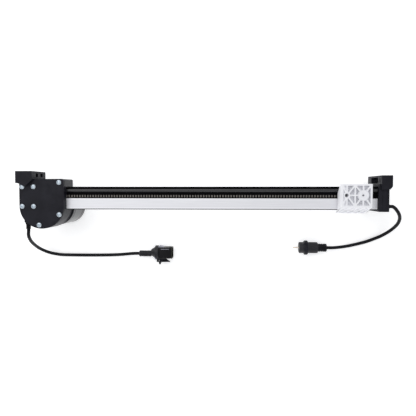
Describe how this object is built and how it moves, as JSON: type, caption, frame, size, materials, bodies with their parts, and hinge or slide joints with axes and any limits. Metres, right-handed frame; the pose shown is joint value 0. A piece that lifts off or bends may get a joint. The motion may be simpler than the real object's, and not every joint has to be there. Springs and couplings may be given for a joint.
{
  "type": "motorised led grow light rail",
  "caption": "Belt-driven grow light rail with a gear motor at one end, a sliding ribbed carriage, hanging brackets and two short leads with a socket and a plug.",
  "frame": {"origin": "under the middle of the light, on the surface that it lies on", "axes": "+X along the rail towards the idler end, +Y towards the hanging brackets, +Z out of the front face"},
  "size_m": [0.718, 0.1853, 0.13],
  "materials": {
    "black_plastic": "fine moulded texture, satin",
    "black_gloss": "glossy black",
    "rubber": "soft black",
    "pad_plastic": "low-friction strip",
    "white_nylon": "moulded, satin",
    "anodised_aluminium": "satin anodised",
    "steel": "machined",
    "zinc_screws": "bright zinc plate",
    "brass": "bright",
    "motor_enamel": "glossy black enamel",
    "circuit_board": "solder mask",
    "opal_lens": "opal diffuser"
  },
  "bodies": {
    "frame": {"gearbox_housing": "black_plastic", "front_cover": "black_plastic", "left_hook_bracket": "black_plastic", "end_bracket": "black_plastic", "socket_body": "black_plastic", "socket_shroud": "black_plastic", "plug_body": "black_plastic", "rail_cover": "black_gloss", "drive_belt": "rubber", "cord_left": "rubber", "cord_right": "rubber", "cable_gland": "rubber", "cord_relief_right": "rubber", "socket_grip": "rubber", "plug_grip": "rubber", "rail_extrusion": "anodised_aluminium", "drive_rear_bearing": "steel", "drive_front_bearing": "steel", "motor_rear_bearing": "steel", "motor_front_bearing": "steel", "motor_stator": "steel", "idler_axle": "steel", "latch_pin": "steel", "cover_screw_1": "zinc_screws", "cover_screw_2": "zinc_screws", "cover_screw_3": "zinc_screws", "cover_screw_4": "zinc_screws", "cover_screw_5": "zinc_screws", "cover_screw_6": "zinc_screws", "cover_screw_7": "zinc_screws", "hook_screw_1": "zinc_screws", "hook_screw_2": "zinc_screws", "motor_screw_1": "zinc_screws", "motor_screw_2": "zinc_screws", "end_screw_1": "zinc_screws", "end_screw_2": "zinc_screws", "plug_pin_1": "brass", "plug_pin_2": "brass", "socket_contact_1": "brass", "socket_contact_2": "brass", "motor_can": "motor_enamel", "motor_end_cap": "motor_enamel", "control_board": "circuit_board", "led_board": "circuit_board", "led_diffuser": "opal_lens"},
    "carriage": {"carriage_body": "white_nylon", "belt_clamp": "steel", "slide_pad_lower": "pad_plastic", "slide_pad_front": "pad_plastic"},
    "drive": {"drive_gear": "white_nylon", "drive_pulley": "black_plastic", "drive_shaft": "steel"},
    "motor_shaft": {"motor_rotor": "steel", "motor_pinion": "brass"},
    "idler": {"idler_pulley": "black_plastic"},
    "latch": {"socket_latch": "black_plastic"},
    "locking_ring": {"plug_locking_ring": "black_plastic"}
  },
  "joints": [
    {"name": "carriage_slide", "type": "slide", "parent": "frame", "child": "carriage", "axis": [1, 0, 0], "range_m": [-0.488, 0.012]},
    {"name": "drive_spin", "type": "hinge", "parent": "frame", "child": "drive", "pos_m": [-0.282, -0.00142, 0.0893], "axis": [0, 0, 1], "continuous": true},
    {"name": "idler_spin", "type": "hinge", "parent": "frame", "child": "idler", "pos_m": [0.318, -0.00142, 0.0893], "axis": [0, 0, 1], "continuous": true},
    {"name": "motor_spin", "type": "hinge", "parent": "frame", "child": "motor_shaft", "pos_m": [-0.282, -0.01467, 0.033], "axis": [0, 0, 1], "continuous": true},
    {"name": "latch_hinge", "type": "hinge", "parent": "frame", "child": "latch", "pos_m": [-0.09, -0.1246, 0.0146], "axis": [0, 0, 1], "range_deg": [-20, 0], "stiffness_Nm_per_rad": 0.05},
    {"name": "locking_ring_turn", "type": "hinge", "parent": "frame", "child": "locking_ring", "pos_m": [0.203, -0.0962, 0.0146], "axis": [1, 0, 0], "range_deg": [0, 45]}
  ],
  "couplings": [
    {"joint": "drive_spin", "follows": "carriage_slide", "rad_per_m": -104.72},
    {"joint": "idler_spin", "follows": "carriage_slide", "rad_per_m": -104.72},
    {"joint": "motor_spin", "follows": "carriage_slide", "rad_per_m": 224.4}
  ]
}
